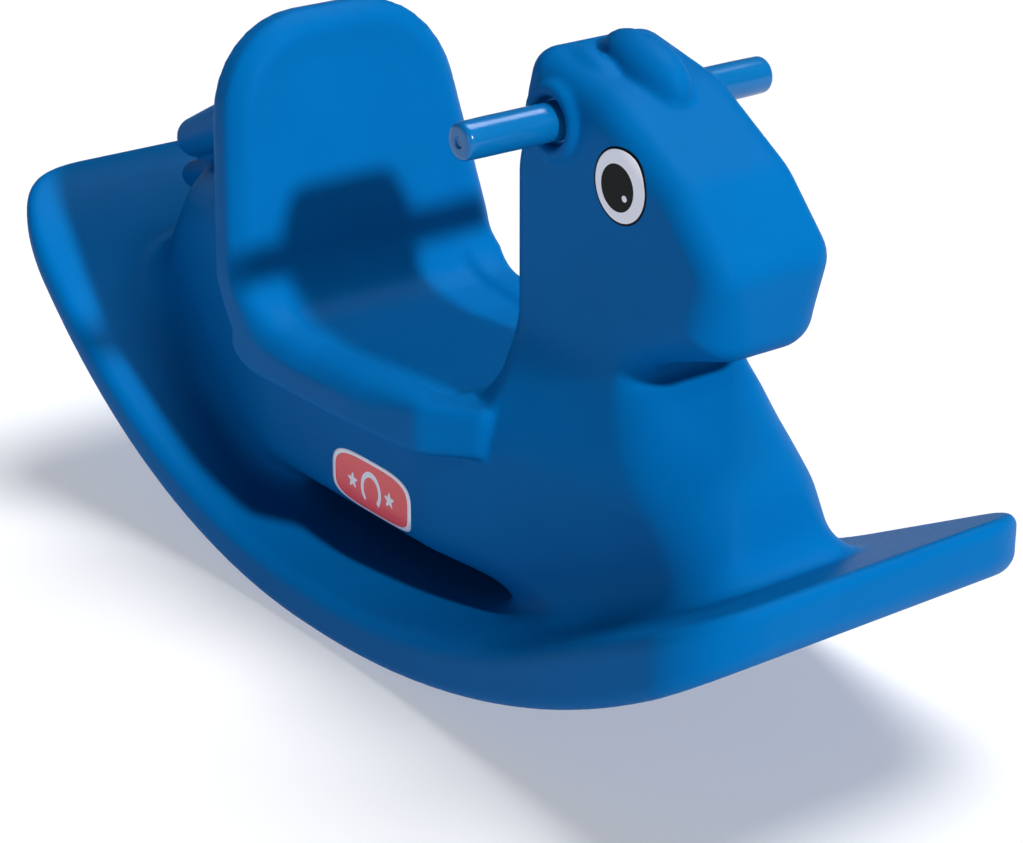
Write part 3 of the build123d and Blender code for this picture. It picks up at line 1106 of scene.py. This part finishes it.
def add_node(tree: bpy.types.NodeTree, kind: str, settings: dict | None = None,
             **inputs: object) -> bpy.types.Node:
    """Add one node with its settings, values and links.

    Args:
        tree: node tree of the material.
        kind: Blender's name for the node type.
        settings: node properties.
        inputs: socket name with underscores for spaces, to a value or to the socket that feeds it.

    Returns:
        The new node.
    """
    node = tree.nodes.new(kind)
    for name, value in (settings or {}).items():
        setattr(node, name, value)
    for name, value in inputs.items():
        socket = node.inputs[int(name[1:])] if name[0] == "_" else node.inputs[name.replace("_", " ")]
        if isinstance(value, bpy.types.NodeSocket):
            tree.links.new(value, socket)
        else:
            socket.default_value = value
    return node


@dataclass(frozen=True)
class Finish:
    """Moulded or printed plastic.

    Attributes:
        name: what the material is and how its surface was made.
        colour: sRGB colour.
        deep: sRGB colour of its slightly darker patches.
        roughness: lowest and highest roughness over the surface.
        specular: strength of the gloss.
        tint: sRGB colour of the gloss seen face on, which pigment near the surface lends it.
        grain: size in millimetres of the surface's pebble.
        grain_depth: height of the pebble in millimetres.
        wave: length in millimetres of the slow unevenness that cooling leaves.
        wave_depth: height of that unevenness in millimetres.
    """

    name: str
    colour: str
    deep: str
    roughness: tuple[float, float] = (0.3, 0.4)
    specular: float = 0.4
    tint: str = "#ffffff"
    grain: float = 0.8
    grain_depth: float = 0.004
    wave: float = 30.0
    wave_depth: float = 0.02

    def material(self) -> bpy.types.Material:
        """Build the node material once and reuse it.

        Returns:
            The material.
        """
        known = bpy.data.materials.get(self.name)
        if known:
            return known
        material = bpy.data.materials.new(self.name)
        material.use_nodes = True
        tree = material.node_tree
        tree.nodes.clear()
        place = add_node(tree, "ShaderNodeTexCoord").outputs["Object"]
        patches = add_node(tree, "ShaderNodeTexNoise", Vector=place, Scale=1 / (self.wave * MM),
                           Detail=3.0)
        colour = add_node(tree, "ShaderNodeMix", {"data_type": "RGBA"}, Factor=patches.outputs["Fac"],
                          _6=linear(self.deep), _7=linear(self.colour))
        speckle = add_node(tree, "ShaderNodeTexNoise", Vector=place, Scale=1 / (self.grain * MM),
                           Detail=2.0)
        gloss = add_node(tree, "ShaderNodeMapRange", Value=speckle.outputs["Fac"], From_Min=0.3,
                         From_Max=0.7, To_Min=self.roughness[0], To_Max=self.roughness[1])
        slow = add_node(tree, "ShaderNodeBump", Height=patches.outputs["Fac"], Strength=1.0,
                        Distance=self.wave_depth * MM)
        fine = add_node(tree, "ShaderNodeBump", Height=speckle.outputs["Fac"], Strength=1.0,
                        Distance=self.grain_depth * MM, Normal=slow.outputs["Normal"])
        shader = add_node(tree, "ShaderNodeBsdfPrincipled", Base_Color=colour.outputs[2],
                          Roughness=gloss.outputs["Result"], Specular_IOR_Level=self.specular, IOR=1.5,
                          Specular_Tint=linear(self.tint), Normal=fine.outputs["Normal"])
        add_node(tree, "ShaderNodeOutputMaterial", Surface=shader.outputs["BSDF"])
        return material


# Polyethylene from a textured mould: matt with a fine pebble, and a weak gloss tinted by the pigment.
MOULDED_BLUE = Finish("polyethylene_moulded_pebble_blue", "#005f9e", "#005996", roughness=(0.42, 0.58),
                      specular=0.05, tint="#6d8ee0", grain=1.5, grain_depth=0.05, wave=70.0, wave_depth=0.25)
# Polypropylene from a polished mould: smoother and lighter, with a long narrow highlight.
HANDLE_BLUE = Finish("polypropylene_injection_moulded_blue", "#03639f", "#035d97", roughness=(0.16, 0.24),
                     specular=0.5, tint="#c8d4f4", grain=2.0, grain_depth=0.008, wave=40.0, wave_depth=0.1)
# Extruded polyethylene rod, out of sight inside the head.
ROD_GREY = Finish("polyethylene_extruded_grey", "#2b2d31", "#232529", roughness=(0.4, 0.55), grain=1.0,
                  grain_depth=0.02, wave_depth=0.1)
# Polyethylene plug in the body's colour, a little smoother than the moulding.
PLUG_BLUE = Finish("polyethylene_plug_blue", "#004a82", "#004478", roughness=(0.35, 0.5), specular=0.3,
                   tint="#6d8ee0", grain=1.0, grain_depth=0.01, wave=20.0, wave_depth=0.05)
# Screen-printed vinyl with a clear coat: even colour and a tight soft gloss.
PRINT_WHITE = Finish("vinyl_printed_white", "#e9e7ee", "#e4e2ea")
# The black also paints the thin ring of shade round each eye's white.
PRINT_BLACK_AND_SHADE = Finish("vinyl_printed_black_and_painted_shade", "#060b0b", "#040808", specular=0.08)
PRINT_CORAL = Finish("vinyl_printed_coral", "#ee5a5c", "#e95256")


# ---------------------------------------------------------------- studio
@dataclass
class Studio:
    """Pale floor, key light ahead of the horse, soft light overhead and a fill from its near side."""

    azimuth: float = 52.791
    elevation: float = 22.891
    distance: float = 2.0
    target: tuple[float, float, float] = (0.0556, 0.0, 0.1354)
    lens: float = 102.3
    sensor: float = 36.0
    floor_half: float = 8.0
    fill_colour: tuple[float, float, float] = (0.7, 0.88, 1.15)
    sky_colour: tuple[float, float, float, float] = (0.8, 0.92, 1.1, 1.0)
    sky_strength: float = 0.1

    def camera(self) -> None:
        """Place the camera: it looks at the target from the given azimuth and elevation."""
        azimuth, elevation = math.radians(self.azimuth), math.radians(self.elevation)
        level = math.cos(elevation)
        towards = Vector((math.sin(azimuth) * level, -math.cos(azimuth) * level, math.sin(elevation)))
        data = bpy.data.cameras.new("camera")
        data.lens = self.lens
        data.sensor_width = self.sensor
        camera = bpy.data.objects.new("camera", data)
        camera.location = Vector(self.target) + towards * self.distance
        camera.rotation_euler = towards.to_track_quat("Z", "Y").to_euler()
        bpy.context.scene.collection.objects.link(camera)
        bpy.context.scene.camera = camera

    @staticmethod
    def sun(name: str, towards: tuple[float, float, float], strength: float,
            spread: float) -> bpy.types.Object:
        """Add a distant white light.

        Args:
            name: name of the light.
            towards: direction from the horse to the light.
            strength: brightness on a surface that faces it.
            spread: angle in degrees that the light fills, which sets how soft its shadows are.

        Returns:
            The light.
        """
        data = bpy.data.lights.new(name, "SUN")
        data.energy = strength
        data.angle = math.radians(spread)
        light = bpy.data.objects.new(name, data)
        light.rotation_euler = Vector(towards).to_track_quat("Z", "Y").to_euler()
        bpy.context.scene.collection.objects.link(light)
        return light

    @staticmethod
    def only_on(light: bpy.types.Object, lit: list[bpy.types.Object]) -> None:
        """Let a light reach some of the scene's objects alone.

        Args:
            light: the light.
            lit: the objects that it lights.
        """
        receivers = bpy.data.collections.new(f"{light.name}_receivers")
        for piece in lit:
            receivers.objects.link(piece)
        light.light_linking.receiver_collection = receivers

    def floor(self) -> bpy.types.Object:
        """Lay a plain pale floor that is wide enough to fill the view.

        Returns:
            The floor.
        """
        half = self.floor_half
        mesh = bpy.data.meshes.new("studio_floor")
        mesh.from_pydata([(-half, -half, 0), (half, -half, 0), (half, half, 0), (-half, half, 0)], [],
                         [(0, 1, 2, 3)])
        material = bpy.data.materials.new("studio_paper")
        material.use_nodes = True
        shader = material.node_tree.nodes["Principled BSDF"]
        shader.inputs["Base Color"].default_value = linear("#f4f4f5")
        shader.inputs["Roughness"].default_value = 0.9
        shader.inputs["Specular IOR Level"].default_value = 0.0
        mesh.materials.append(material)
        floor = bpy.data.objects.new("studio_floor", mesh)
        bpy.context.scene.collection.objects.link(floor)
        floor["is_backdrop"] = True
        return floor

    def build(self, horse: list[bpy.types.Object]) -> None:
        """Set camera, lights, sky and floor.

        The key and the fill light the horse alone, so the floor shows one soft shadow from overhead, which
        a shadowless light on the floor keeps pale.

        Args:
            horse: every piece of the rocking horse.
        """
        self.camera()
        floor = self.floor()
        self.only_on(self.sun("key", (0.86, 0.05, 0.51), 3.75, 3.5), horse)
        fill = self.sun("fill", (0.15, -1.0, 0.1), 0.62, 34.0)
        fill.data.color = self.fill_colour
        self.only_on(fill, horse)
        self.sun("overhead", (-0.08, 0.4, 1.0), 2.2, 34.0)
        bounce = self.sun("floor_bounce", (0.0, 0.0, 1.0), 1.35, 5.0)
        bounce.data.use_shadow = False
        self.only_on(bounce, [floor])
        world = bpy.data.worlds.new("studio_sky")
        world.use_nodes = True
        sky = world.node_tree.nodes["Background"]
        sky.inputs["Color"].default_value = self.sky_colour
        sky.inputs["Strength"].default_value = self.sky_strength
        bpy.context.scene.world = world
        bpy.context.scene.view_settings.view_transform = "Standard"


# ---------------------------------------------------------------- assembly
def moulding() -> Moulding:
    """Size the moulding from the frame.

    Returns:
        The body, not yet built.
    """
    shell_low, shell_high = node_box("body_shell")
    eye_inner = node_box("eye_decal_left")[0][1]
    badge_inner = node_box("badge_decal_left")[0][1]
    rod_low, rod_high = node_box("handle_core_rod")
    plug_low, plug_high = node_box("vent_plug")
    length, width, _ = shell_high - shell_low
    return Moulding(
        board=RockerBoard(length, width),
        barrel=Barrel(barrel_half=round(badge_inner), head_half=round(eye_inner)),
        seat=Seat(), forelock=Forelock(), tail=Tail(),
        handle_axis=((rod_low[0] + rod_high[0]) / 2, (rod_low[2] + rod_high[2]) / 2),
        plug_x=(plug_low[0] + plug_high[0]) / 2, plug_radius=(plug_high[1] - plug_low[1]) / 2,
        cell=FULL_CELL)


def main() -> None:
    """Build every piece in order and dress what stays of the frame."""
    logging.basicConfig(level=logging.INFO, format="%(name)s: %(message)s")
    body = moulding()
    body.build(MOULDED_BLUE)
    tip = node_box("handle_left")[1][1]
    for hand in Hand:
        Handle(hand, GRIP_RADIUS, tip, *body.handle_axis).build(HANDLE_BLUE)
        EyeSticker(body, hand, start=body.barrel.head_half + 8.0).build(PRINT_BLACK_AND_SHADE, PRINT_WHITE)
        BadgeSticker(body, hand, start=body.barrel.barrel_half + 12.0).build(PRINT_CORAL, PRINT_WHITE)
    plug_low, plug_high = node_box("vent_plug")
    head = (plug_low[2], plug_low[2] + PLUG_HEAD_DEPTH)
    VentPlug(body.plug_x, body.plug_radius, head, plug_high[2]).build(PLUG_BLUE)
    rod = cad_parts["handle_core_rod"]
    rod.data.materials.clear()
    rod.data.materials.append(ROD_GREY.material())
    Studio().build(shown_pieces())


if __name__ == "__main__":
    main()
